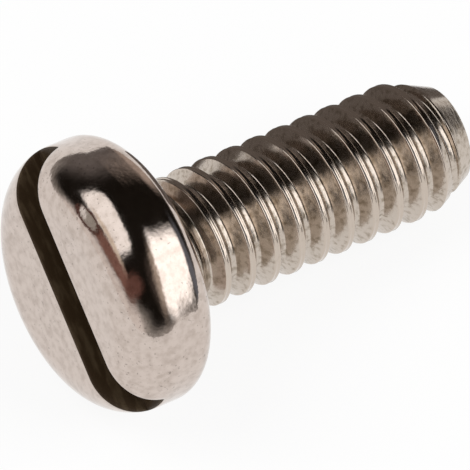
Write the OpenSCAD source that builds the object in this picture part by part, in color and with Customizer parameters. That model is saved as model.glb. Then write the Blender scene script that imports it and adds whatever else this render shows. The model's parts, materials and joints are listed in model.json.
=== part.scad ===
// Slotted pan head machine screw, size M2, in millimetres.
// The screw lies as it comes to rest, on the rim of its head and on a thread crest near its tip.
// +X runs along the shank towards the tip, +Z is up, and the plane that it lies on is Z = 0.

/* [Thread] */
// Major diameter, over the thread crests
thread_d = 1.9; // [1.85:0.01:2]
// Pitch of the single start right-hand thread
pitch = 0.4; // [0.35:0.01:0.45]
// Depth of the thread, from crest to root flat
thread_depth = 0.2; // [0.15:0.005:0.22]
// Width of the flat on each crest
crest_flat = 0.08; // [0.05:0.005:0.09]
// Depth of the small round on each edge of the crest
crest_round = 0.012; // [0.005:0.001:0.02]
// How far the rounded root dips below the root flat
root_dip = 0.012; // [0.004:0.001:0.02]
// Turn of the thread about the axis, measured from the slot, in degrees
thread_turn = 40; // [0:1:359]

/* [Shank] */
// Length from under the head to the tip
length = 4.92; // [3:0.04:8]
// Diameter of the plain neck under the head
neck_d = 1.66; // [1.6:0.01:1.72]
// Length of the plain neck
neck_length = 0.18; // [0.18:0.01:0.3]
// Length over which the thread rises from the neck to its full height
runout_length = 0.6; // [0.2:0.01:0.8]
// Radius of the fillet between the head and the neck
fillet_r = 0.15; // [0.13:0.01:0.18]
// Diameter of the flat end
tip_d = 1.36; // [1.2:0.01:1.5]
// Length of the tapered end
tip_length = 0.6; // [0.2:0.01:0.8]

/* [Head] */
// Diameter of the head
head_d = 3.78; // [3.7:0.01:4]
// Height of the head
head_h = 1.3; // [1.2:0.01:1.4]
// Radius of the shoulder round between the side and the flat top
shoulder_r = 0.7; // [0.5:0.01:0.9]
// Radius of the lower edge of the head
rim_r = 0.32; // [0.1:0.01:0.4]

/* [Slot] */
// Width of the screwdriver slot
slot_w = 0.58; // [0.5:0.01:0.7]
// Depth of the slot below the flat top
slot_depth = 0.6; // [0.45:0.01:0.7]

/* [Resting position] */
// Turn of the whole screw about its own axis as it lies, in degrees
lying_turn = -61; // [-180:1:180]

/* [Hidden] */
steel = [0.72, 0.69, 0.64];
$fn = 96;

// Steps round one turn of the thread
turn_steps = 48;
// How deep the shank reaches into the head
shank_embed = 0.15;
// How far the shank lies inside the surface of the neck
neck_step = 0.01;
// How far the slot's cutting block reaches past the head
slot_overcut = 1;

head_r = head_d / 2;
neck_r = neck_d / 2;
tip_r = tip_d / 2;
blank_r = neck_r - neck_step;
crest_r = thread_d / 2;
root_r = crest_r - thread_depth;
flank_angle = 30;
flank_width = thread_depth * tan(flank_angle);

// One pitch of the thread as [axial offset from the crest's middle, radius]
crest_half = crest_flat / 2;
root_half = crest_half + flank_width;
thread_form = [
    [-crest_half, crest_r - crest_round],
    [-crest_half + crest_round, crest_r],
    [crest_half - crest_round, crest_r],
    [crest_half, crest_r - crest_round],
    [root_half, root_r],
    [pitch / 2, root_r - root_dip],
    [pitch - root_half, root_r]
];
form_steps = len(thread_form);
shank_start = -shank_embed;
thread_start = pitch * thread_turn / 360;
first_pitch = -ceil((thread_start - shank_start) / pitch) - 1;
last_pitch = ceil((length - thread_start) / pitch);
row_count = (last_pitch - first_pitch + 1) * form_steps;

// Height of one grid point: rows follow the thread's form, columns climb one pitch a turn
function raw_z(column, row) =
    thread_start
    + pitch * (first_pitch + floor(row / form_steps) + column / turn_steps)
    + thread_form[row % form_steps][0];
function shank_z(column, row) = max(shank_start, min(length, raw_z(column, row)));

// Share of the thread's height that is reached at z, rising smoothly out of the neck
function smooth(t) = t * t * (3 - 2 * t);
function thread_rise(z) = smooth(max(0, min(1, (z - neck_length) / runout_length)));

// Largest radius allowed at z by the tapered end
function taper_r(z) =
    crest_r - (crest_r - tip_r) * max(0, z - (length - tip_length)) / tip_length;

function shank_r(column, row) =
    let (z = shank_z(column, row))
    let (full = thread_form[row % form_steps][1])
    min(blank_r + (full - blank_r) * thread_rise(z), taper_r(z));

// Rows past either end collapse onto the end ring, so each column keeps one point there
function first_row(column) =
    max([for (row = [0 : row_count - 1]) raw_z(column, row) <= shank_start ? row : 0]);
function last_row(column) =
    min([for (row = [0 : row_count - 1]) raw_z(column, row) >= length ? row : row_count - 1]);
first_rows = [for (column = [0 : turn_steps - 1]) first_row(column)];
last_rows = [for (column = [0 : turn_steps - 1]) last_row(column)];

// Number of the grid point, where a full turn steps on by one pitch of rows
function point_at(column, row) =
    let (ring = column % turn_steps)
    let (climbed = row + (column >= turn_steps ? form_steps : 0))
    ring * row_count + max(first_rows[ring], min(last_rows[ring], climbed));

// Threaded shank with its run-out and its tapered end
module shank() {
    grid = [
        for (column = [0 : turn_steps - 1])
        for (row = [0 : row_count - 1])
        let (angle = 360 * column / turn_steps)
        let (radius = shank_r(column, row))
        [radius * cos(angle), radius * sin(angle), shank_z(column, row)]
    ];
    quads = [
        for (column = [0 : turn_steps - 1])
        for (row = [-form_steps : row_count - 2])
        [
            point_at(column, row),
            point_at(column, row + 1),
            point_at(column + 1, row + 1),
            point_at(column + 1, row)
        ]
    ];
    triangles = [
        for (quad = quads)
        for (corners = [[quad[0], quad[1], quad[2]], [quad[0], quad[2], quad[3]]])
        if (corners[0] != corners[1] && corners[1] != corners[2] && corners[0] != corners[2])
        corners
    ];
    top_ring = [for (column = [0 : turn_steps - 1]) point_at(column, -form_steps)];
    end_ring = [for (column = [turn_steps - 1 : -1 : 0]) point_at(column, row_count - 1)];
    polyhedron(points = grid, faces = concat(triangles, [top_ring, end_ring]));
}

// Half outline of the head: flat top, round shoulder, straight side and rounded lower edge
module head_outline() {
    translate([head_r - shoulder_r, -head_h + shoulder_r])
        intersection() {
            circle(shoulder_r);
            translate([0, -shoulder_r]) square(shoulder_r);
        }
    translate([head_r - rim_r, -rim_r]) circle(rim_r);
    translate([0, -head_h]) square([head_r - shoulder_r, head_h]);
    translate([0, -head_h + shoulder_r]) square([head_r, head_h - shoulder_r - rim_r]);
    translate([0, -rim_r]) square([head_r - rim_r, rim_r]);
}

// Half outline of the neck, with the fillet that joins it to the head
module neck_outline() {
    square([neck_r, neck_length]);
    difference() {
        translate([0, -rim_r]) square([neck_r + fillet_r, rim_r + fillet_r]);
        translate([neck_r + fillet_r, fillet_r]) circle(fillet_r);
    }
}

module slot_cut() {
    translate([0, 0, -head_h + slot_depth / 2 - slot_overcut / 2])
        cube([head_d + 2 * slot_overcut, slot_w, slot_depth + slot_overcut], center = true);
}

// Head and neck, turned as one, with the slot cut across the top
module head() {
    difference() {
        rotate_extrude() {
            head_outline();
            neck_outline();
        }
        slot_cut();
    }
}

module upright_screw() {
    head();
    shank();
}

// The plane it lies on touches the rounded rim of the head and the first crest it meets
rim_z = -rim_r;
rim_centre_r = head_r - rim_r;
// Angle about the axis at which the thread points straight down
down_angle = -lying_turn;
function crest_z(n) = thread_start + pitch * (n + down_angle / 360);
function crest_tilt(z) =
    let (rise = rim_centre_r - min(crest_r, taper_r(z)))
    let (run = z - rim_z)
    atan(rise / run) + asin(rim_r / norm([rise, run]));
crest_tilts = [
    for (n = [first_pitch : last_pitch])
    let (z = crest_z(n))
    if (z > length / 2 && z < length)
    crest_tilt(z)
];
lying_tilt = min(crest_tilts);

// Corners of the lying screw that set its box, as places along X and Z before it is moved
lowest_z = -rim_centre_r * cos(lying_tilt) - rim_z * sin(lying_tilt) - rim_r;
tip_x = length * cos(lying_tilt) + tip_r * sin(lying_tilt);
head_x = (-head_h + shoulder_r) * cos(lying_tilt)
    - (head_r - shoulder_r) * sin(lying_tilt) - shoulder_r;

module screw() {
    color(steel)
        translate([-(tip_x + head_x) / 2, 0, -lowest_z])
        rotate([0, 90 + lying_tilt, 0])
        rotate([0, 0, lying_turn])
        upright_screw();
}

screw();
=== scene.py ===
"""Looks of the slotted pan head machine screw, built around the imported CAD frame.

The screw lies on a pale floor, on the rim of its head and on a thread crest. Its head is made ring
by ring so that the slot has true walls and rounded edges, and its threaded shank is made by
Geometry Nodes from the thread's own rule.
"""

import json
import logging
import math
from dataclasses import dataclass
from enum import Enum

import bmesh
import bpy
from mathutils import Matrix, Vector


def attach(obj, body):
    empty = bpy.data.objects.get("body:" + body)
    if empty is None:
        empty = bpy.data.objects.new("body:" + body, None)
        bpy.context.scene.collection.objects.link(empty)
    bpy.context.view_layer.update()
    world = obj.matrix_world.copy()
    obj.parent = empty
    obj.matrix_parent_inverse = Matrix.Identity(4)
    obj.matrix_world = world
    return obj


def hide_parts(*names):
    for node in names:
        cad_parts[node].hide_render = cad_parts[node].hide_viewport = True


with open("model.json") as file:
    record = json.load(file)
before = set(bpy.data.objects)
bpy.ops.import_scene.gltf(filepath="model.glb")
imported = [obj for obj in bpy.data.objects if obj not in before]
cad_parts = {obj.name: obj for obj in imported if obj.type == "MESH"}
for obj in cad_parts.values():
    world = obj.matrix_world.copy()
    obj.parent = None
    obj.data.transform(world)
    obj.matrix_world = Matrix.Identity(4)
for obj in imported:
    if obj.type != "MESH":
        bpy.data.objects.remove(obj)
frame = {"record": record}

log = logging.getLogger("machine_screw")

MM = 0.001
MERGE_DISTANCE = 0.0001 * MM
ROUNDING = 1e-9
FULL_TURN = 2 * math.pi
QUARTER_TURN = math.pi / 2
WHITE = (1.0, 1.0, 1.0, 1.0)

Point = tuple[float, float, float]
Ring = tuple[float, float]
Colour = tuple[float, float, float, float]
Inputs = dict[str | int, object]
Socket = bpy.types.NodeSocket
Sockets = bpy.types.bpy_prop_collection


@dataclass(frozen=True)
class ScrewSizes:
    """Sizes in millimetres and turns in degrees, the same as in the part's source."""

    thread_d: float = 1.9
    pitch: float = 0.4
    thread_depth: float = 0.2
    crest_flat: float = 0.08
    thread_turn: float = 40.0
    length: float = 4.92
    neck_d: float = 1.66
    neck_length: float = 0.18
    runout_length: float = 0.6
    fillet_r: float = 0.15
    tip_d: float = 1.36
    tip_length: float = 0.6
    head_d: float = 3.78
    head_h: float = 1.3
    shoulder_r: float = 0.7
    rim_r: float = 0.32
    slot_w: float = 0.58
    slot_depth: float = 0.6
    lying_turn: float = -61.0

    @property
    def head_r(self) -> float:
        """Radius of the head."""
        return self.head_d / 2

    @property
    def flat_r(self) -> float:
        """Radius of the flat top, where the shoulder round begins."""
        return self.head_r - self.shoulder_r

    @property
    def slot_floor_z(self) -> float:
        """Height of the slot's floor along the axis."""
        return self.slot_depth - self.head_h

    @property
    def fillet_ring_r(self) -> float:
        """Radius at which the fillet under the head starts."""
        return self.neck_d / 2 + self.fillet_r


class Mount(Enum):
    """Names of the record's mounts that place the screw."""

    BEARING = "bearing_face"
    THREAD = "thread"


class Part(Enum):
    """Parts of the screw with a material of their own, by material index; the slot's is painted
    shade.
    """

    HEAD = 0
    SLOT = 1
    SHANK = 2


def mount_of(name: Mount) -> dict:
    """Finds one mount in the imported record.

    Args:
        name: The mount's name.

    Returns:
        The mount's entry, with its position in metres and its axis.
    """
    return next(m for m in frame["record"]["mounts"] if m["name"] == name.value)


def lying_place(sizes: ScrewSizes) -> Matrix:
    """Works out how the upright screw is turned and moved to lie in the frame.

    Args:
        sizes: The screw's sizes.

    Returns:
        A matrix from the screw's own axes, slot along X and tip towards +Z, to the frame.
    """
    tipward = Vector(mount_of(Mount.BEARING)["axis"]).normalized()
    thread_start = Vector(mount_of(Mount.THREAD)["pos_m"])
    centre = thread_start - tipward * sizes.neck_length * MM
    side = Vector((0.0, 1.0, 0.0))
    down = side.cross(tipward)
    turned = Matrix((down, side, tipward)).transposed().to_4x4()
    spin = Matrix.Rotation(math.radians(sizes.lying_turn), 4, "Z")
    return Matrix.Translation(centre) @ turned @ spin


@dataclass(frozen=True)
class Pattern:
    """Noise with scale cells to a unit of length and detail octaves of finer noise.

    Where it has steps, it is sharpened to spots, 0 below the first level and 1 above the second.
    """

    scale: float
    detail: float
    steps: tuple[float, float] | None = None


class NodeBuilder:
    """Adds nodes to a tree and links them, so that a formula reads from left to right."""

    def __init__(self, tree: bpy.types.NodeTree) -> None:
        """Keeps the tree that the nodes go to."""
        self.tree = tree

    def fill(self, node: bpy.types.Node, inputs: Inputs) -> None:
        """Sets inputs of a node.

        Args:
            node: The node.
            inputs: Constants or other nodes' outputs, by the input's name or number.
        """
        for key, value in inputs.items():
            if isinstance(value, Socket):
                self.tree.links.new(value, node.inputs[key])
            else:
                node.inputs[key].default_value = value

    def node(self, kind: str, inputs: Inputs | None = None, **settings: object) -> bpy.types.Node:
        """Adds a node.

        Args:
            kind: The node's type name.
            inputs: Constants or other nodes' outputs, by the input's name or number.
            **settings: Properties of the node to set.

        Returns:
            The new node.
        """
        made = self.tree.nodes.new(kind)
        for name, value in settings.items():
            setattr(made, name, value)
        self.fill(made, inputs or {})
        return made

    def point(self, x: object, y: object, z: object) -> Socket:
        """Joins three numbers, each a constant or a socket, to a vector."""
        return self.node("ShaderNodeCombineXYZ", {0: x, 1: y, 2: z}).outputs[0]

    def math(self, operation: str, *values: object) -> Socket:
        """Adds a scalar Math node.

        Args:
            operation: The node's operation.
            *values: Constants or sockets, in the node's input order.

        Returns:
            The node's output socket.
        """
        return self.node("ShaderNodeMath", dict(enumerate(values)), operation=operation).outputs[0]

    def vector(self, operation: str, *values: object, scale: object = None) -> Socket:
        """Adds a Vector Math node.

        Args:
            operation: The node's operation.
            *values: Constants or sockets, in the node's input order.
            scale: The factor of the SCALE operation.

        Returns:
            The node's output that the operation fills.
        """
        inputs = dict(enumerate(values))
        if scale is not None:
            inputs["Scale"] = scale
        made = self.node("ShaderNodeVectorMath", inputs, operation=operation)
        return made.outputs["Value" if operation == "LENGTH" else "Vector"]

    def ramp(
        self, value: object, start: object, end: object, low: float = 0.0, high: float = 1.0
    ) -> Socket:
        """Adds a smooth step from one value to another.

        Args:
            value: The socket that drives the step.
            start: The driving value at which the step begins, a constant or a socket.
            end: The driving value at which it ends, likewise.
            low: The result at the step's start.
            high: The result at its end.

        Returns:
            The step's output socket.
        """
        inputs = {"Value": value, "From Min": start, "From Max": end, "To Min": low, "To Max": high}
        return self.node("ShaderNodeMapRange", inputs, interpolation_type="SMOOTHSTEP").outputs[0]

    def mix(self, share: object, first: object, second: object) -> Socket:
        """Mixes two colours.

        Args:
            share: The second colour's share.
            first: The first colour.
            second: The second colour.

        Returns:
            The mixed colour.
        """
        share_socket, first_colour, second_colour, mixed_colour = 0, 6, 7, 2
        inputs = {share_socket: share, first_colour: first, second_colour: second}
        return self.node("ShaderNodeMix", inputs, data_type="RGBA").outputs[mixed_colour]

    def pattern(self, pattern: Pattern, spot: Socket) -> Socket:
        """Adds a noise pattern.

        Args:
            pattern: The pattern's scale, detail and steps.
            spot: The place to look up.

        Returns:
            The pattern, from 0 to 1.
        """
        inputs = {"Vector": spot, "Scale": pattern.scale, "Detail": pattern.detail}
        noise = self.node("ShaderNodeTexNoise", inputs).outputs[0]
        return self.ramp(noise, *pattern.steps) if pattern.steps else noise


@dataclass(frozen=True)
class ThreadDetail:
    """How finely the thread's surface is divided, and how its corners are eased, in millimetres.

    The grid starts lead_pitches before the thread does, so that it covers the neck. In each pitch
    the rows crowd together at crowded_spots places, where the corners of the thread's form are.
    """

    rows_per_pitch: int = 32
    turn_steps: int = 168
    lead_pitches: int = 2
    crowded_spots: int = 4
    crowding: float = 0.6
    crest_ease: float = 0.02
    seam_depth: float = 0.012
    root_ease: float = 0.04
    wear_depth: float = 0.005
    wear: Pattern = Pattern(9.0, 2.0)


class ThreadTree:
    """Geometry Nodes tree that makes the threaded shank from the thread's rule."""

    FLANK_ANGLE = math.radians(30)

    def __init__(self, sizes: ScrewSizes, detail: ThreadDetail) -> None:
        """Makes the empty tree.

        Args:
            sizes: The screw's sizes.
            detail: How finely the thread is divided.
        """
        self.sizes = sizes
        self.detail = detail
        self.tree = bpy.data.node_groups.new("threaded_shank", "GeometryNodeTree")
        self.build = NodeBuilder(self.tree)
        self.identifiers: dict[str, str] = {}

    def values(self) -> dict[str, float]:
        """Lists the tree's named inputs with their sizes.

        Returns:
            Each input's name and its size in metres.
        """
        s = self.sizes
        crest_r = s.thread_d / 2
        thread_start = s.pitch * s.thread_turn / 360
        lengths = {
            "Crest Radius": crest_r,
            "Root Radius": crest_r - s.thread_depth,
            "Crest Half Width": s.crest_flat / 2,
            "Pitch": s.pitch,
            "First Crest": thread_start - self.detail.lead_pitches * s.pitch,
            "Length": s.length,
            "Neck Radius": s.neck_d / 2,
            "Neck Length": s.neck_length,
            "Run-out Length": s.runout_length,
            "Fillet Radius": s.fillet_r,
            "Tip Radius": s.tip_d / 2,
            "Tip Length": s.tip_length,
        }
        return {name: value * MM for name, value in lengths.items()}

    def row_count(self) -> int:
        """Counts the grid rows that cover the shank, with the lead and one pitch to spare."""
        pitches = math.ceil(self.sizes.length / self.sizes.pitch) + self.detail.lead_pitches + 1
        return pitches * self.detail.rows_per_pitch + 1

    def make(self, material: bpy.types.Material) -> bpy.types.NodeTree:
        """Builds the whole tree.

        Args:
            material: The finish of the shank.

        Returns:
            The finished tree.
        """
        face = self.tree.interface
        for name in self.values():
            socket = face.new_socket(name=name, in_out="INPUT", socket_type="NodeSocketFloat")
            self.identifiers[name] = socket.identifier
        face.new_socket(name="Geometry", in_out="OUTPUT", socket_type="NodeSocketGeometry")
        b = self.build
        given = b.node("NodeGroupInput").outputs
        steps = self.detail.turn_steps
        rows = self.row_count()
        spread = {"Size X": rows - 1, "Size Y": steps, "Vertices X": rows, "Vertices Y": steps + 1}
        grid = b.node("GeometryNodeMeshGrid", spread)
        place = b.node("ShaderNodeSeparateXYZ", {0: b.node("GeometryNodeInputPosition").outputs[0]})
        row = b.math("ADD", place.outputs[0], (rows - 1) / 2)
        column = b.math("ADD", place.outputs[1], steps / 2)
        turn = b.math("DIVIDE", column, steps)
        height, off_crest = self._height(given, row, turn)
        angle = b.math("MULTIPLY", turn, FULL_TURN)
        radius = self._radius(given, height, off_crest, angle)
        x = b.math("MULTIPLY", radius, b.math("COSINE", angle))
        y = b.math("MULTIPLY", radius, b.math("SINE", angle))
        moved = {"Geometry": grid.outputs["Mesh"], "Position": b.point(x, y, height)}
        shaped = b.node("GeometryNodeSetPosition", moved)
        joined = b.node("GeometryNodeJoinGeometry", {0: self._end_cap(given)})
        b.fill(joined, {0: shaped.outputs[0]})
        self._finish(joined.outputs[0], material)
        return self.tree

    def _height(self, given: Sockets, row: Socket, turn: Socket) -> tuple[Socket, Socket]:
        """Makes the height of each grid point, with rows crowded at the corners of the form.

        Args:
            given: The tree's inputs.
            row: The point's row.
            turn: The point's share of a full turn.

        Returns:
            The height along the axis and the distance along it from the nearest crest's middle.
        """
        b = self.build
        waves = FULL_TURN * self.detail.crowded_spots
        rows = b.math("DIVIDE", row, self.detail.rows_per_pitch)
        whole = b.math("FLOOR", rows)
        share = b.math("FRACT", rows)
        off_spot = b.math("SUBTRACT", share, 0.5 / self.detail.crowded_spots)
        wave = b.math("SINE", b.math("MULTIPLY", off_spot, waves))
        pull = b.math("MULTIPLY", wave, self.detail.crowding / waves)
        form = b.math("SUBTRACT", share, pull)
        climbed = b.math("ADD", b.math("ADD", whole, form), turn)
        raised = b.math("MULTIPLY_ADD", climbed, given["Pitch"], given["First Crest"])
        height = b.math("MAXIMUM", 0.0, b.math("MINIMUM", raised, given["Length"]))
        nearest = b.math("MINIMUM", form, b.math("SUBTRACT", 1.0, form))
        return height, b.math("MULTIPLY", nearest, given["Pitch"])

    def _radius(self, given: Sockets, height: Socket, off_crest: Socket, angle: Socket) -> Socket:
        """Makes the radius of each grid point from the thread's form, the run-out and the taper.

        Args:
            given: The tree's inputs.
            height: The height along the axis.
            off_crest: The distance along the axis from the nearest crest.
            angle: The angle round the axis.

        Returns:
            The radius.
        """
        b = self.build
        ease = self.detail
        past_flat = b.math("SUBTRACT", off_crest, given["Crest Half Width"])
        fall = b.math("DIVIDE", past_flat, math.tan(self.FLANK_ANGLE))
        flank = b.math("SUBTRACT", given["Crest Radius"], fall)
        across = b.math("DIVIDE", off_crest, given["Crest Half Width"])
        middle = b.math("MAXIMUM", 0.0, b.math("SUBTRACT", 1.0, b.math("MULTIPLY", across, across)))
        seam = b.math("MULTIPLY", middle, ease.seam_depth * MM)
        top = b.math("SUBTRACT", given["Crest Radius"], seam)
        crest = b.math("SMOOTH_MIN", top, flank, ease.crest_ease * MM)
        form = b.math("SMOOTH_MAX", given["Root Radius"], crest, ease.root_ease * MM)
        run_end = b.math("ADD", given["Neck Length"], given["Run-out Length"])
        rise = b.ramp(height, given["Neck Length"], run_end)
        above = b.math("SUBTRACT", form, given["Neck Radius"])
        threaded = b.math("MULTIPLY_ADD", above, rise, given["Neck Radius"])
        short = b.math("MAXIMUM", 0.0, b.math("SUBTRACT", given["Fillet Radius"], height))
        squared = b.math("MULTIPLY", given["Fillet Radius"], given["Fillet Radius"])
        left = b.math("SUBTRACT", squared, b.math("MULTIPLY", short, short))
        flare = b.math("SUBTRACT", given["Fillet Radius"], b.math("SQRT", left))
        worn = b.math("SUBTRACT", threaded, self._wear(height, angle, rise))
        taper_start = b.math("SUBTRACT", given["Length"], given["Tip Length"])
        into_taper = b.math("MAXIMUM", 0.0, b.math("SUBTRACT", height, taper_start))
        narrowing = b.math("SUBTRACT", given["Crest Radius"], given["Tip Radius"])
        slope = b.math("DIVIDE", narrowing, given["Tip Length"])
        limit = b.math("SUBTRACT", given["Crest Radius"], b.math("MULTIPLY", into_taper, slope))
        return b.math("ADD", b.math("MINIMUM", worn, limit), flare)

    def _wear(self, height: Socket, angle: Socket, rise: Socket) -> Socket:
        """Makes the shallow unevenness that rolling leaves on the thread.

        Args:
            height: The height along the axis.
            angle: The angle round the axis.
            rise: The share of the thread's full height, so that the neck stays plain.

        Returns:
            How far the surface lies below its ideal radius.
        """
        b = self.build
        climbed = b.math("DIVIDE", height, self.sizes.pitch * MM)
        spot = b.point(b.math("COSINE", angle), b.math("SINE", angle), climbed)
        unevenness = b.pattern(self.detail.wear, spot)
        depth = b.math("MULTIPLY", unevenness, self.detail.wear_depth * MM)
        return b.math("MULTIPLY", depth, rise)

    def _end_cap(self, given: Sockets) -> Socket:
        """Makes the flat end of the shank.

        Args:
            given: The tree's inputs.

        Returns:
            The cap's geometry.
        """
        b = self.build
        round_tip = {"Vertices": self.detail.turn_steps, "Radius": given["Tip Radius"]}
        disc = b.node("GeometryNodeMeshCircle", round_tip, fill_type="TRIANGLE_FAN")
        lift = b.point(0.0, 0.0, given["Length"])
        lifted = {"Geometry": disc.outputs[0], "Translation": lift}
        return b.node("GeometryNodeTransform", lifted).outputs[0]

    def _finish(self, geometry: Socket, material: bpy.types.Material) -> None:
        """Closes the seam of the tube and gives it its material.

        Args:
            geometry: The tube with its end cap.
            material: The finish of the shank.
        """
        b = self.build
        closed = {"Geometry": geometry, "Distance": MERGE_DISTANCE}
        merged = b.node("GeometryNodeMergeByDistance", closed)
        real = b.node("GeometryNodeRealizeInstances", {"Geometry": merged.outputs[0]})
        steel = {"Geometry": real.outputs[0], "Material": material}
        dressed = b.node("GeometryNodeSetMaterial", steel)
        b.node("NodeGroupOutput", {0: dressed.outputs[0]})


@dataclass
class Head:
    """Pan head with its slot, made ring by ring in the screw's own axes.

    The slot is cut a little off the axis, as it is in the photograph, by the distance slot_shift. A
    side of the slot is 1 towards +Y and -1 towards -Y.
    """

    sizes: ScrewSizes
    turn_steps: int
    flat_rings: int = 9
    shoulder_rings: int = 30
    low_rings: int = 3
    side_rings: int = 3
    rim_rings: int = 14
    under_rings: int = 6
    floor_steps: int = 6
    edge_steps: int = 3
    wall_steps: int = 6
    slot_edge_r: float = 0.03
    slot_shift: float = -0.18

    @property
    def gap_steps(self) -> int:
        """Steps of a full ring that lie across one end of the slot."""
        return self.floor_steps + 2 * self.edge_steps

    @property
    def half_steps(self) -> int:
        """Steps of a full ring between the slot's two ends."""
        return self.turn_steps // 2 - self.gap_steps

    def wall(self, side: int) -> float:
        """Distance of the slot's wall on one side from the axis."""
        return self.sizes.slot_w / 2 + side * self.slot_shift

    def lip(self, side: int) -> float:
        """Distance from the axis to where the slot's rounded edge starts on one side."""
        return self.wall(side) + self.slot_edge_r

    @property
    def side_top_z(self) -> float:
        """Height at which the shoulder's round ends and the straight side begins."""
        return self.sizes.shoulder_r - self.sizes.head_h

    @property
    def floor_angle(self) -> float:
        """Angle from the axis at which the shoulder's round meets the slot's floor."""
        return math.acos((self.side_top_z - self.sizes.slot_floor_z) / self.sizes.shoulder_r)

    def shoulder_ring(self, angle: float) -> Ring:
        """Gives radius and height of the shoulder's ring at an angle from the axis."""
        s = self.sizes
        z = self.side_top_z - s.shoulder_r * math.cos(angle)
        return s.flat_r + s.shoulder_r * math.sin(angle), z

    def upper_outline(self, side: int) -> list[Ring]:
        """Lists one side's rings above the slot's floor, from the middle outwards.

        Args:
            side: The side of the slot.

        Returns:
            Each ring's radius and height.
        """
        s = self.sizes
        lip = self.lip(side)
        steps = self.shoulder_rings
        width = s.flat_r - lip
        flat = [(lip + width * i / self.flat_rings, -s.head_h) for i in range(self.flat_rings)]
        return flat + [self.shoulder_ring(self.floor_angle * i / steps) for i in range(steps + 1)]

    def lower_outline(self) -> list[Ring]:
        """Lists the rings from the slot's floor down the side and in to the fillet.

        Returns:
            Each ring's radius and height.
        """
        s = self.sizes
        rings = [self.upper_outline(1)[-1]]
        for i in range(1, self.low_rings + 1):
            angle = self.floor_angle + (QUARTER_TURN - self.floor_angle) * i / self.low_rings
            rings.append(self.shoulder_ring(angle))
        side_h = -s.rim_r - self.side_top_z
        for i in range(1, self.side_rings + 1):
            rings.append((s.head_r, self.side_top_z + side_h * i / self.side_rings))
        rim_end = s.head_r - s.rim_r
        for i in range(1, self.rim_rings + 1):
            angle = QUARTER_TURN * i / self.rim_rings
            z = -s.rim_r + s.rim_r * math.sin(angle)
            rings.append((rim_end + s.rim_r * math.cos(angle), z))
        for i in range(1, self.under_rings + 1):
            rings.append((rim_end + (s.fillet_ring_r - rim_end) * i / self.under_rings, 0.0))
        return rings

    def upper_normal(self, radius: float) -> Vector:
        """Works out the outward normal of the top.

        Args:
            radius: Distance from the axis.

        Returns:
            The normal, with its radial part along X and its axial part along Z.
        """
        s = self.sizes
        lean = max(0.0, radius - s.flat_r) / s.shoulder_r
        return Vector((min(1.0, lean), 0.0, -math.sqrt(max(0.0, 1 - lean * lean))))

    def half_top(self, side: int) -> list[list[Point]]:
        """Makes one half of the top, beside the slot.

        Args:
            side: The side of the slot.

        Returns:
            One row of points for each ring.
        """
        rows = []
        for radius, z in self.upper_outline(side):
            start = math.asin(min(1.0, self.lip(side) / radius))
            row = []
            for i in range(self.half_steps + 1):
                angle = start + (math.pi - 2 * start) * i / self.half_steps
                row.append((radius * math.cos(angle), side * radius * math.sin(angle), z))
            rows.append(row)
        return rows

    def edge_column(self, radius: float, z: float, end: int, side: int) -> list[Point]:
        """Makes the points from the top over the slot's rounded edge and down its wall.

        Args:
            radius: Radius of the ring that the column starts from.
            z: Height of that ring.
            end: 1 for the slot's end at +X, -1 for the other.
            side: The side of the slot.

        Returns:
            The column's points, from the top to the slot's floor.
        """
        lip = self.lip(side)
        along = math.sqrt(max(0.0, radius * radius - lip * lip))
        floor_z = self.sizes.slot_floor_z
        if z >= floor_z - ROUNDING:
            column = []
            for i in range(self.edge_steps + 1):
                across = lip + (self.wall(side) - lip) * i / self.edge_steps
                reach = math.sqrt(radius * radius - across * across)
                column.append((end * reach, side * across, floor_z))
            return column + [column[-1]] * self.wall_steps
        outward = self.upper_normal(radius)
        normal = Vector((outward.x * along / radius, outward.x * lip / radius, outward.z))
        edge_r = self.slot_edge_r / (1 + normal.y)
        start = Vector((along, lip, z))
        centre = start - normal * edge_r
        inward = Vector((0.0, -1.0, 0.0))
        column = []
        for i in range(self.edge_steps + 1):
            spot = centre + normal.slerp(inward, i / self.edge_steps) * edge_r
            column.append(Vector((spot.x, spot.y, min(spot.z, floor_z))))
        last = column[-1]
        for i in range(1, self.wall_steps + 1):
            share = i / self.wall_steps
            column.append(Vector((last.x, last.y, last.z + (floor_z - last.z) * share)))
        return [(end * p.x, side * p.y, p.z) for p in column]

    def slot_wall(self, side: int) -> list[list[Point]]:
        """Makes one wall of the slot with its rounded upper edge.

        Args:
            side: The side of the slot.

        Returns:
            One row of points for each step along the slot.
        """
        rings = self.upper_outline(side)
        far = [self.edge_column(r, z, -1, side) for r, z in reversed(rings)]
        near = [self.edge_column(r, z, 1, side) for r, z in rings[1:]]
        return far + near

    def slot_floor(self) -> list[list[Point]]:
        """Makes the slot's floor, with ends that are bowed as the head's side is.

        Returns:
            One row of points for each step along the slot.
        """
        rows = []
        for left, right in zip(self.slot_wall(1), self.slot_wall(-1)):
            a = Vector(left[-1])
            b = Vector(right[-1])
            sign = -1 if a.x < 0 else 1
            row = []
            for i in range(self.floor_steps + 1):
                share = i / self.floor_steps
                across = a.y + (b.y - a.y) * share
                ring = math.hypot(a.x, a.y) * (1 - share) + math.hypot(b.x, b.y) * share
                bowed = math.sqrt(max(0.0, ring * ring - across * across))
                row.append((sign * bowed, across, a.z))
            rows.append(row)
        return rows

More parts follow.
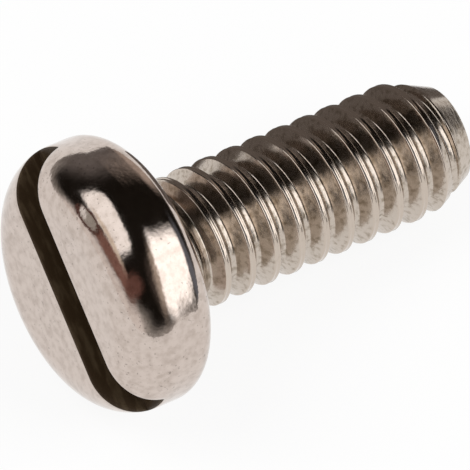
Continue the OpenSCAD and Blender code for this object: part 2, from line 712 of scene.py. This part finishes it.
    def lower_shell(self) -> list[list[Point]]:
        """Makes the head below the slot's floor, as full rings down to the fillet.

        The first ring has its points where the slot's floor and its edges end. They are evenly
        spaced from the rim down.

        Returns:
            One row of points for each ring.
        """
        s = self.sizes
        rings = self.lower_outline()
        first_r, first_z = rings[0]
        eased = [self.slot_edge_r * (1 - i / self.edge_steps) for i in range(self.edge_steps)]
        near, far = self.wall(1), -self.wall(-1)
        floor = [near - s.slot_w * i / self.floor_steps for i in range(self.floor_steps + 1)]
        line = [near + y for y in eased] + floor + [far - y for y in reversed(eased)]
        gap = [math.asin(y / first_r) for y in reversed(line)]
        angles = list(gap)
        for edge, turned in ((gap[-1], 0.0), (-gap[0], math.pi)):
            step = (math.pi - 2 * edge) / self.half_steps
            angles += [turned + edge + step * i for i in range(1, self.half_steps + 1)]
            if not turned:
                angles += [math.pi - a for a in reversed(gap[:-1])]
        even_start = -math.pi * self.gap_steps / self.turn_steps
        even = [even_start + FULL_TURN * k / self.turn_steps for k in range(self.turn_steps + 1)]
        rows = []
        for radius, z in rings:
            share = min(1.0, (z - first_z) / (-s.rim_r - first_z))
            blend = share * share * (3 - 2 * share)
            row = []
            for own, level in zip(angles, even):
                angle = own + (level - own) * blend
                row.append((radius * math.cos(angle), radius * math.sin(angle), z))
            rows.append(row)
        return rows

    def add_patch(
        self, mesh: bmesh.types.BMesh, rows: list[list[Point]], part: Part, bright_steps: int = 0
    ) -> None:
        """Adds a sheet of four-sided faces.

        Args:
            mesh: The mesh that it goes to.
            rows: The rows of points, in millimetres.
            part: The part whose material the faces have.
            bright_steps: How many faces at the start of each row have the head's finish instead.
        """
        grid = [[mesh.verts.new(Vector(p) * MM) for p in row] for row in rows]
        for upper, lower in zip(grid, grid[1:]):
            for i in range(len(upper) - 1):
                face = mesh.faces.new((upper[i], upper[i + 1], lower[i + 1], lower[i]))
                face.smooth = True
                face.material_index = Part.HEAD.value if i < bright_steps else part.value

    def build(self, mesh: bmesh.types.BMesh) -> None:
        """Adds the whole head to a mesh."""
        for side in (1, -1):
            self.add_patch(mesh, self.half_top(side), Part.HEAD)
            # The -Y side's rounded lip keeps the head's steel, while the +Y side's lip takes the
            # slot's painted shade.
            bright = self.edge_steps if side < 0 else 0
            self.add_patch(mesh, self.slot_wall(side), Part.SLOT, bright_steps=bright)
        self.add_patch(mesh, self.slot_floor(), Part.SLOT)
        self.add_patch(mesh, self.lower_shell(), Part.HEAD)


class FinishBuilder(NodeBuilder):
    """Builds one finish of the screw, with its patterns in the screw's own axes."""

    def __init__(self, name: str, place: Matrix) -> None:
        """Makes an empty material.

        Args:
            name: The material's name.
            place: How the upright screw lies in the frame.
        """
        self.material = bpy.data.materials.new(name)
        self.material.use_nodes = True
        super().__init__(self.material.node_tree)
        own = {
            "Vector": self.node("ShaderNodeTexCoord").outputs["Object"],
            "Location": place.translation,
            "Rotation": place.to_euler(),
            "Scale": (MM, MM, MM),
        }
        self.spot = self.node("ShaderNodeMapping", own, vector_type="TEXTURE").outputs[0]

    def spread(self, pattern: Pattern, stretch: Point | None = None) -> Socket:
        """Adds a pattern in the screw's own axes, in millimetres.

        Args:
            pattern: The pattern.
            stretch: Factors on the axes, which turn the pattern into streaks, or None.

        Returns:
            The pattern, from 0 to 1.
        """
        spot = self.vector("MULTIPLY", self.spot, stretch) if stretch else self.spot
        return self.pattern(pattern, spot)

    def reach(self) -> Socket:
        """Makes the distance from the screw's axis in millimetres."""
        return self.vector("LENGTH", self.vector("MULTIPLY", self.spot, (1.0, 1.0, 0.0)))

    def relief(self, grain: Socket, depth: float) -> Socket:
        """Presses a grain into the surface, too shallow to be seen as a shape.

        Args:
            grain: The grain, from 0 to 1.
            depth: Its depth in millimetres.

        Returns:
            The surface's normal.
        """
        return self.node("ShaderNodeBump", {"Height": grain, "Distance": depth * MM}).outputs[0]

    def dress(self, inputs: Inputs) -> bpy.types.Material:
        """Sets the shader's inputs, a metal's if not said otherwise, and gives the material."""
        self.fill(self.tree.nodes["Principled BSDF"], {"Metallic": 1.0, **inputs})
        return self.material


@dataclass(frozen=True)
class SteelFinish:
    """Polished stainless steel of the head, with faint mottling and fine dark specks."""

    name: str = "head_steel"
    colour: Colour = (0.62, 0.53, 0.475, 1.0)
    dull: Colour = (0.49, 0.41, 0.36, 1.0)
    speck: Colour = (0.20, 0.17, 0.15, 1.0)
    mottling: Pattern = Pattern(9.0, 6.0, (0.35, 0.75))
    speckled_areas: Pattern = Pattern(1.6, 2.0, (0.35, 0.60))
    specks: Pattern = Pattern(24.0, 2.0, (0.62, 0.74))
    speck_share: float = 0.75
    roughness: float = 0.095
    roughness_range: float = 0.10
    smears: Pattern = Pattern(5.0, 3.0)
    coarse_grain: Pattern = Pattern(5.5, 2.0)
    fine_grain: Pattern = Pattern(22.0, 1.0)
    fine_share: float = 0.25
    grain_depth: float = 0.002

    def material(self, place: Matrix) -> bpy.types.Material:
        """Builds the material.

        Args:
            place: How the upright screw lies in the frame.

        Returns:
            The finished material.
        """
        b = FinishBuilder(self.name, place)
        tone = b.mix(b.spread(self.mottling), self.colour, self.dull)
        speckled = b.math("MULTIPLY", b.spread(self.specks), b.spread(self.speckled_areas))
        colour = b.mix(b.math("MULTIPLY", speckled, self.speck_share), tone, self.speck)
        smoothest = self.roughness - self.roughness_range / 2
        uneven = b.math("MULTIPLY_ADD", b.spread(self.smears), self.roughness_range, smoothest)
        fine = b.math("MULTIPLY", b.spread(self.fine_grain), self.fine_share)
        grain = b.math("ADD", b.spread(self.coarse_grain), fine)
        normal = b.relief(grain, self.grain_depth)
        return b.dress({"Base Color": colour, "Roughness": uneven, "Normal": normal})


@dataclass(frozen=True)
class ThreadFinish:
    """Rolled thread: bright worn crests over duller flanks and roots with small brown stains.

    The crest's colour is mixed in over worn_band, which is measured from the crest's radius.
    """

    name: str = "thread_steel"
    crest: Colour = (0.56, 0.48, 0.41, 1.0)
    flank: Colour = (0.55, 0.48, 0.415, 1.0)
    stain: Colour = (0.22, 0.17, 0.11, 1.0)
    stains: Pattern = Pattern(12.0, 6.0, (0.44, 0.72))
    stain_share: float = 0.65
    wear: Pattern = Pattern(9.0, 2.0)
    wear_lift: float = 0.04
    worn_band: tuple[float, float] = (-0.02, 0.012)
    crest_roughness: float = 0.15
    flank_roughness: float = 0.20
    grain: Pattern = Pattern(8.0, 3.0)
    grain_stretch: Point = (1.0, 1.0, 2.5)
    grain_depth: float = 0.003

    def material(self, place: Matrix, sizes: ScrewSizes) -> bpy.types.Material:
        """Builds the material.

        Args:
            place: How the upright screw lies in the frame.
            sizes: The screw's sizes.

        Returns:
            The finished material.
        """
        b = FinishBuilder(self.name, place)
        crest_r = sizes.thread_d / 2
        lifted = b.math("MULTIPLY_ADD", b.spread(self.wear), self.wear_lift, b.reach())
        high = b.ramp(lifted, *(crest_r + level for level in self.worn_band))
        stained = b.math("MULTIPLY", b.spread(self.stains), self.stain_share)
        colour = b.mix(high, b.mix(stained, self.flank, self.stain), self.crest)
        gloss = b.ramp(high, 0.0, 1.0, self.flank_roughness, self.crest_roughness)
        normal = b.relief(b.spread(self.grain, self.grain_stretch), self.grain_depth)
        return b.dress({"Base Color": colour, "Roughness": gloss, "Normal": normal})


@dataclass(frozen=True)
class SlotPaintedShade:
    """Dark brown, dull steel inside the slot; the dark brown is painted shade of the deep recess.
    """

    name: str = "slot_painted_shade"
    # The dark brown colours are painted shade of the slot's deep recess, lightened in streaks.
    colour: Colour = (0.042, 0.025, 0.012, 1.0)
    worn: Colour = (0.080, 0.054, 0.030, 1.0)
    streaks: Pattern = Pattern(6.0, 3.0, (0.45, 0.7))
    streak_stretch: Point = (0.5, 1.0, 2.0)
    specular: float = 0.2
    roughness: float = 0.5

    def material(self, place: Matrix) -> bpy.types.Material:
        """Builds the material.

        Args:
            place: How the upright screw lies in the frame.

        Returns:
            The finished material.
        """
        b = FinishBuilder(self.name, place)
        colour = b.mix(b.spread(self.streaks, self.streak_stretch), self.colour, self.worn)
        dull = {"Metallic": 0.0, "Specular IOR Level": self.specular, "Roughness": self.roughness}
        return b.dress({"Base Color": colour, **dull})


@dataclass
class Screw:
    """The whole screw: head, neck and threaded shank as one closed mesh."""

    sizes: ScrewSizes
    detail: ThreadDetail

    def shank_mesh(self, steel: bpy.types.Material) -> bpy.types.Mesh:
        """Runs the thread's Geometry Nodes tree.

        Args:
            steel: The finish of the shank.

        Returns:
            The shank as a plain mesh in the screw's own axes.
        """
        thread = ThreadTree(self.sizes, self.detail)
        tree = thread.make(steel)
        holder = bpy.data.objects.new("shank", bpy.data.meshes.new("shank"))
        bpy.context.scene.collection.objects.link(holder)
        modifier = holder.modifiers.new("thread", "NODES")
        modifier.node_group = tree
        for name, value in thread.values().items():
            modifier[thread.identifiers[name]] = value
        seen = bpy.context.evaluated_depsgraph_get()
        plain = bpy.data.meshes.new_from_object(holder.evaluated_get(seen))
        bpy.data.objects.remove(holder)
        return plain

    def build(self) -> bpy.types.Object:
        """Joins head and shank and lays the screw in its place.

        Returns:
            The finished piece.
        """
        place = lying_place(self.sizes)
        finishes_and_shade = {
            Part.HEAD: SteelFinish().material(place),
            # The slot's material is painted shade of its recess.
            Part.SLOT: SlotPaintedShade().material(place),
            Part.SHANK: ThreadFinish().material(place, self.sizes),
        }
        mesh = bmesh.new()
        mesh.from_mesh(self.shank_mesh(finishes_and_shade[Part.SHANK]))
        for face in mesh.faces:
            face.smooth = True
            face.material_index = Part.SHANK.value
        Head(self.sizes, turn_steps=self.detail.turn_steps).build(mesh)
        bmesh.ops.remove_doubles(mesh, verts=mesh.verts, dist=MERGE_DISTANCE)
        bmesh.ops.dissolve_degenerate(mesh, edges=mesh.edges, dist=MERGE_DISTANCE)
        bmesh.ops.recalc_face_normals(mesh, faces=mesh.faces)
        open_edges = sum(1 for edge in mesh.edges if len(edge.link_faces) != 2)
        log.info("screw: %d faces, %d open edges", len(mesh.faces), open_edges)
        plain = bpy.data.meshes.new("machine_screw")
        mesh.to_mesh(plain)
        mesh.free()
        plain.transform(place)
        for part in Part:
            plain.materials.append(finishes_and_shade[part])
        piece = bpy.data.objects.new("machine_screw", plain)
        bpy.context.scene.collection.objects.link(piece)
        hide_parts("screw")
        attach(piece, "root")
        return piece


@dataclass(frozen=True)
class PhotoCamera:
    """Camera at the photograph's angle, far away behind a long lens."""

    azimuth: float = -32.63
    elevation: float = 59.27
    distance: float = 0.25
    frame_px: float = 470.0
    px_per_mm: float = 74.96
    bearing_px: tuple[float, float] = (140.06, 260.93)
    sensor_mm: float = 36.0
    clip_factor: float = 100.0

    def build(self, bearing_centre: Vector) -> None:
        """Makes the camera and sets it as the scene's own.

        Args:
            bearing_centre: Where the axis meets the plane under the head, in metres.
        """
        turn = math.radians(self.azimuth)
        rise = math.radians(self.elevation)
        level = Vector((math.sin(turn), -math.cos(turn), 0.0))
        back = level * math.cos(rise) + Vector((0.0, 0.0, math.sin(rise)))
        right = Vector((math.cos(turn), math.sin(turn), 0.0))
        up = back.cross(right)
        middle = self.frame_px / 2
        shift = right * (middle - self.bearing_px[0]) + up * (self.bearing_px[1] - middle)
        target = bearing_centre + shift * MM / self.px_per_mm
        data = bpy.data.cameras.new("photo_camera")
        data.sensor_width = self.sensor_mm
        width = self.frame_px / self.px_per_mm * MM
        data.lens = self.sensor_mm * self.distance / width
        data.clip_start = self.distance / self.clip_factor
        data.clip_end = self.distance * self.clip_factor
        camera = bpy.data.objects.new("photo_camera", data)
        camera.rotation_mode = "QUATERNION"
        camera.rotation_quaternion = back.to_track_quat("Z", "Y")
        camera.location = target + back * self.distance
        bpy.context.scene.collection.objects.link(camera)
        bpy.context.scene.camera = camera


class StudioBuilder(NodeBuilder):
    """Builds a piece of the studio with a material that may glow but isn't sampled as a lamp."""

    def __init__(self, name: str) -> None:
        """Makes an empty material of the piece's name."""
        self.material = bpy.data.materials.new(name)
        self.material.use_nodes = True
        self.material.cycles.emission_sampling = "NONE"
        super().__init__(self.material.node_tree)
        self.tree.nodes.clear()

    def glow(self, colour: object) -> Socket:
        """Makes a plain glow of a colour."""
        return self.node("ShaderNodeEmission", {"Color": colour}).outputs[0]

    def piece(self, mesh: bmesh.types.BMesh, surface: Socket) -> bpy.types.Object:
        """Makes the piece and adds it to the studio.

        Args:
            mesh: The piece's mesh, which is used up.
            surface: The shader of its surface.

        Returns:
            The piece.
        """
        self.node("ShaderNodeOutputMaterial", {"Surface": surface})
        plain = bpy.data.meshes.new(self.material.name)
        mesh.to_mesh(plain)
        mesh.free()
        plain.materials.append(self.material)
        piece = bpy.data.objects.new(self.material.name, plain)
        bpy.context.scene.collection.objects.link(piece)
        return piece


def show_to_gloss_only(piece: bpy.types.Object) -> None:
    """Makes the camera look through a piece of the studio, which then blocks no lamp either."""
    for ray in ("camera", "diffuse", "shadow", "transmission", "volume_scatter"):
        setattr(piece, f"visible_{ray}", False)


@dataclass(frozen=True)
class Patch:
    """A soft-edged patch of light or shade on the tent, round or square.

    Its place is on the tent's plan, where straight up is (0, 0), the horizon has radius 1, +X is
    right and +Y is up.
    """

    middle: tuple[float, float]
    half: tuple[float, float]
    colour: tuple[float, float, float]
    turn: float = 0.0
    edge: float = 0.12
    square: bool = False

    def mask(self, b: NodeBuilder, plan: Socket) -> Socket:
        """Makes the patch's mask.

        Args:
            b: The builder of the tent's material.
            plan: The place on the tent's plan.

        Returns:
            1 inside the patch and 0 outside it.
        """
        place = {
            "Vector": plan,
            "Location": (*self.middle, 0.0),
            "Rotation": (0.0, 0.0, math.radians(self.turn)),
            "Scale": (*self.half, 1.0),
        }
        own = b.node("ShaderNodeMapping", place, vector_type="TEXTURE").outputs[0]
        if self.square:
            reach = b.math("SQRT", b.vector("LENGTH", b.vector("MULTIPLY", own, own)))
        else:
            reach = b.vector("LENGTH", own)
        return b.ramp(reach, 1 + self.edge, 1 - self.edge)


@dataclass(frozen=True)
class Tent:
    """Dark tent with soft light sources, which only the polished steel sees."""

    radius: float = 0.12
    subdivisions: int = 3
    horizon: tuple[float, float, float] = (0.42, 0.40, 0.38)
    patches: tuple[Patch, ...] = (
        Patch((-1.0, 0.0), (0.36, 1.1), (0.90, 0.86, 0.84), edge=0.2),
        Patch((0.08, 0.0), (0.92, 0.92), (0.012, 0.010, 0.008), edge=0.12),
        Patch((-0.38, 0.64), (0.37, 0.22), (0.012, 0.010, 0.008), turn=30, edge=0.3),
        Patch((0.28, 0.84), (0.42, 0.22), (0.16, 0.145, 0.14), edge=0.7),
        Patch((0.72, 0.62), (0.25, 0.30), (0.50, 0.42, 0.37), edge=0.4),
        Patch((0.68, -0.50), (0.16, 0.40), (0.17, 0.185, 0.22), edge=0.5),
        Patch((0.0, -0.78), (0.5, 0.15), (0.012, 0.010, 0.008), edge=0.4),
        Patch((0.05, -0.60), (0.20, 0.22), (0.10, 0.08, 0.07), edge=0.6),
        Patch((-0.73, -0.02), (0.12, 0.36), (0.26, 0.14, 0.115), edge=0.25),
        Patch((-0.60, -0.36), (0.24, 0.09), (0.17, 0.085, 0.07), turn=-22, edge=0.5),
        Patch((-0.335, 0.18), (0.245, 0.335), (1.35, 1.35, 1.35), turn=-16, square=True),
        Patch((-0.56, 0.10), (0.05, 0.25), (0.90, 0.80, 0.68), turn=-16, edge=0.5),
        Patch((0.12, -0.54), (0.13, 0.30), (0.60, 0.52, 0.45), turn=-24, edge=0.6),
        Patch((0.33, -0.53), (0.185, 0.38), (2.0, 2.0, 2.0), turn=-15, edge=0.25, square=True),
        Patch((-0.69, 0.36), (0.15, 0.155), (0.10, 0.045, 0.035), edge=0.06),
        Patch((-0.69, 0.36), (0.105, 0.108), (0.42, 0.40, 0.37), edge=0.1),
        Patch((-0.67, 0.43), (0.085, 0.03), (1.0, 1.0, 1.0), turn=12, edge=0.4),
    )

    def colour(self, b: NodeBuilder) -> Socket:
        """Makes the tent's colour by laying its patches over each other in order.

        Args:
            b: The builder of the tent's material.

        Returns:
            The colour.
        """
        toward = b.vector("NORMALIZE", b.node("ShaderNodeTexCoord").outputs["Object"])
        upward = b.node("ShaderNodeSeparateXYZ", {0: toward}).outputs[2]
        level = b.vector("MULTIPLY", toward, (1.0, 1.0, 0.0))
        plan = b.vector("SCALE", level, scale=b.math("INVERSE_SQRT", b.math("ADD", upward, 1.0)))
        colour = (*self.horizon, 1.0)
        for patch in self.patches:
            colour = b.mix(patch.mask(b, plan), colour, (*patch.colour, 1.0))
        return colour

    def build(self) -> None:
        """Makes the tent."""
        mesh = bmesh.new()
        bmesh.ops.create_icosphere(mesh, subdivisions=self.subdivisions, radius=self.radius)
        b = StudioBuilder("tent")
        show_to_gloss_only(b.piece(mesh, b.glow(self.colour(b))))


@dataclass(frozen=True)
class Card:
    """Glowing dark card, a painted reflection that stands upright close behind the shank, which
    only the polished steel sees.

    Its sizes are in millimetres. Its lower edge slopes down to the right, as the shank does.
    """

    across: tuple[float, float] = (-0.7, 5.0)
    behind: float = 1.45
    lower: tuple[float, float] = (1.25, 0.1)
    upper: float = 3.0
    # The card's glow, a painted dark reflection seen in the steel.
    tone: Colour = (0.15, 0.13, 0.12, 1.0)

    def build(self) -> None:
        """Makes the card."""
        left, right = self.across
        low_left, low_right = self.lower
        corners = ((left, low_left), (right, low_right), (right, self.upper), (left, self.upper))
        mesh = bmesh.new()
        mesh.faces.new([mesh.verts.new(Vector((x, self.behind, z)) * MM) for x, z in corners])
        b = StudioBuilder("card")
        show_to_gloss_only(b.piece(mesh, b.glow(self.tone)))


@dataclass(frozen=True)
class Lamp:
    """Large soft lamp for the floor and the slot, as strong as its level on a white floor asks."""

    name: str
    toward: Point
    distance: float = 0.25
    size: float = 0.16
    level: float = 0.3

    def build(self) -> None:
        """Makes the lamp and aims it at the screw."""
        back = Vector(self.toward).normalized()
        data = bpy.data.lights.new(self.name, "AREA")
        data.shape = "DISK"
        data.size = self.size
        data.energy = self.level * (math.pi * self.distance) ** 2 / back.z
        lamp = bpy.data.objects.new(self.name, data)
        lamp.rotation_mode = "QUATERNION"
        lamp.rotation_quaternion = back.to_track_quat("Z", "Y")
        lamp.location = back * self.distance
        lamp.visible_glossy = False
        bpy.context.scene.collection.objects.link(lamp)


@dataclass(frozen=True)
class Studio:
    """Pale floor, white surroundings, a tent for the steel to mirror and soft lamps."""

    floor_colour: Colour = (0.95, 0.95, 0.95, 1.0)
    floor_half: float = 1.0
    floor_glow: float = 0.88
    world_level: float = 0.45
    lamps: tuple[Lamp, ...] = (
        Lamp("left_lamp", (-0.42, 0.28, 0.86)),
        Lamp("right_lamp", (0.5, -0.5, 0.7)),
    )

    def seen_share(self, b: NodeBuilder) -> Socket:
        """Makes a factor that tells the rays that see the background from those that light it.

        Args:
            b: The builder of the floor's or the world's nodes.

        Returns:
            1 for a camera, glossy or transmission ray and 0 for any other.
        """
        path = b.node("ShaderNodeLightPath").outputs
        gloss = b.math("MAXIMUM", path["Is Glossy Ray"], path["Is Transmission Ray"])
        return b.math("MAXIMUM", path["Is Camera Ray"], gloss)

    def floor(self) -> None:
        """Makes the floor, matt and pale, with a share of white glow that keeps shadows soft."""
        mesh = bmesh.new()
        bmesh.ops.create_grid(mesh, x_segments=1, y_segments=1, size=self.floor_half)
        b = StudioBuilder("floor")
        matt = b.node("ShaderNodeBsdfDiffuse", {"Color": self.floor_colour}).outputs[0]
        share = b.math("MULTIPLY", self.seen_share(b), self.floor_glow)
        mixed = b.node("ShaderNodeMixShader", {0: share, 1: matt, 2: b.glow(WHITE)})
        b.piece(mesh, mixed.outputs[0])

    def surroundings(self) -> None:
        """Makes the white surroundings, which light the floor at their own lower level."""
        world = bpy.data.worlds.new("white_room")
        world.use_nodes = True
        b = NodeBuilder(world.node_tree)
        strength = b.ramp(self.seen_share(b), 0.0, 1.0, self.world_level, 1.0)
        b.fill(world.node_tree.nodes["Background"], {"Color": WHITE, "Strength": strength})
        bpy.context.scene.world = world

    def build(self) -> None:
        """Builds the floor, the surroundings, the tent, its card and the lamps in order."""
        self.floor()
        self.surroundings()
        Tent().build()
        Card().build()
        for lamp in self.lamps:
            lamp.build()


def main() -> None:
    """Builds the screw, the camera and the studio in order."""
    logging.basicConfig(level=logging.INFO, format="%(name)s: %(message)s")
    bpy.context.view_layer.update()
    sizes = ScrewSizes()
    piece = Screw(sizes, ThreadDetail()).build()
    log.info("built %s", piece.name)
    PhotoCamera().build(lying_place(sizes).translation)
    Studio().build()
    bpy.context.scene.view_settings.view_transform = "Standard"


if __name__ == "__main__":
    main()
